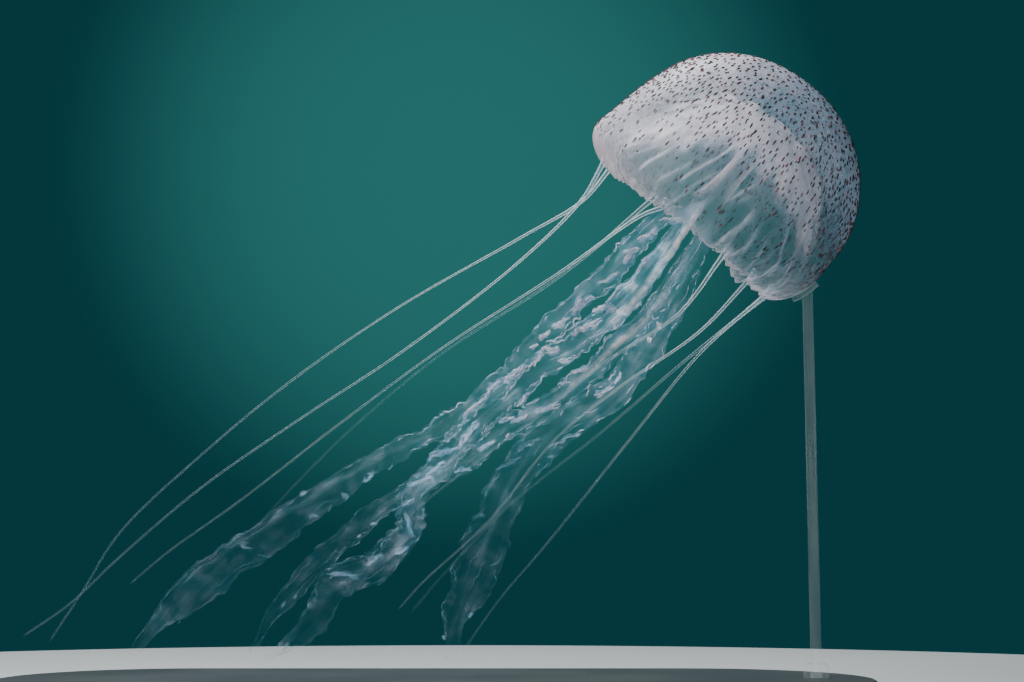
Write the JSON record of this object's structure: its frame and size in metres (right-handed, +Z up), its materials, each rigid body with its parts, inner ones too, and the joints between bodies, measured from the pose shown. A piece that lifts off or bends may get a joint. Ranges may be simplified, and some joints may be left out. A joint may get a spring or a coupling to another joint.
{
  "type": "mauve stinger jellyfish model",
  "caption": "Life-size mauve stinger jellyfish, swimming, with trailing oral arms and long tentacles, held on a plain display stand by a slim clear rod.",
  "frame": {"origin": "centre of the display base's underside, where it rests on a shelf or table", "axes": "+Z up; +X along the base, the way the animal leans as it swims; the bell tips towards -Y, the front; the arms and tentacles trail towards -X"},
  "size_m": [0.324, 0.13, 0.2443],
  "materials": {
    "bell_jelly": "wet milky jelly, freckled with red-brown warts",
    "arm_jelly": "wet clear jelly with milky pink frills",
    "tentacle_jelly": "wet glassy jelly",
    "clear_acrylic": "clear, polished",
    "plinth": "fine matte"
  },
  "bodies": {
    "root": {"bell_crown": "bell_jelly", "bell_margin": "bell_jelly", "manubrium": "arm_jelly", "oral_arm_front_1": "arm_jelly", "oral_arm_front_2": "arm_jelly", "oral_arm_front_3": "arm_jelly", "oral_arm_right_1": "arm_jelly", "oral_arm_right_2": "arm_jelly", "oral_arm_right_3": "arm_jelly", "oral_arm_left_1": "arm_jelly", "oral_arm_left_2": "arm_jelly", "oral_arm_left_3": "arm_jelly", "oral_arm_back_1": "arm_jelly", "oral_arm_back_2": "arm_jelly", "oral_arm_back_3": "arm_jelly", "tentacle_1_1": "tentacle_jelly", "tentacle_1_2": "tentacle_jelly", "tentacle_1_3": "tentacle_jelly", "tentacle_2_1": "tentacle_jelly", "tentacle_2_2": "tentacle_jelly", "tentacle_2_3": "tentacle_jelly", "tentacle_3_1": "tentacle_jelly", "tentacle_3_2": "tentacle_jelly", "tentacle_3_3": "tentacle_jelly", "tentacle_4_1": "tentacle_jelly", "tentacle_4_2": "tentacle_jelly", "tentacle_4_3": "tentacle_jelly", "tentacle_5_1": "tentacle_jelly", "tentacle_5_2": "tentacle_jelly", "tentacle_5_3": "tentacle_jelly", "tentacle_6_1": "tentacle_jelly", "tentacle_6_2": "tentacle_jelly", "tentacle_6_3": "tentacle_jelly", "tentacle_7_1": "tentacle_jelly", "tentacle_7_2": "tentacle_jelly", "tentacle_7_3": "tentacle_jelly", "tentacle_8_1": "tentacle_jelly", "tentacle_8_2": "tentacle_jelly", "tentacle_8_3": "tentacle_jelly", "stand_base": "plinth", "stand_rod": "clear_acrylic", "stand_collar": "clear_acrylic", "stand_saddle": "clear_acrylic"}
  },
  "joints": []
}
